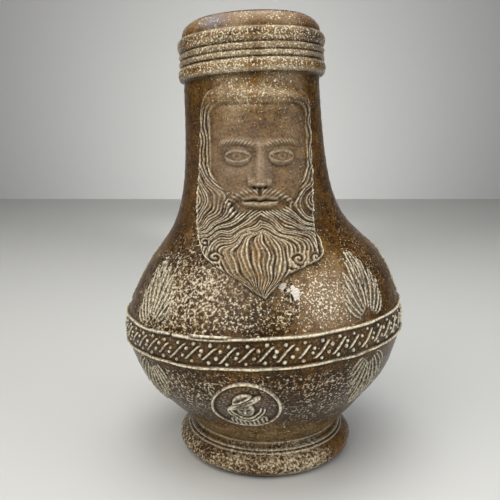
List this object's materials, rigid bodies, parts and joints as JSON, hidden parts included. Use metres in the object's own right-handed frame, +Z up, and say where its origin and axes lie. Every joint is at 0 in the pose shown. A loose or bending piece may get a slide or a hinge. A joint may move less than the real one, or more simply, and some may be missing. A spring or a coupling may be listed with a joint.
{
  "type": "bearded-mask jug",
  "caption": "Small bulbous stoneware jug with a narrow neck, a bearded mask, a belt of leaves and a strap handle, for pouring and display.",
  "frame": {"origin": "middle of the flat underside, where the jug stands", "axes": "+Z up, -Y towards the mask, +Y towards the handle, +X to the right as the mask is seen"},
  "size_m": [0.1408, 0.1406, 0.216],
  "materials": {
    "stoneware": "salt-glazed stoneware with a mottled brown iron wash, glossy with a fine orange-peel surface"
  },
  "bodies": {
    "root": {"jug": "stoneware"}
  },
  "joints": []
}
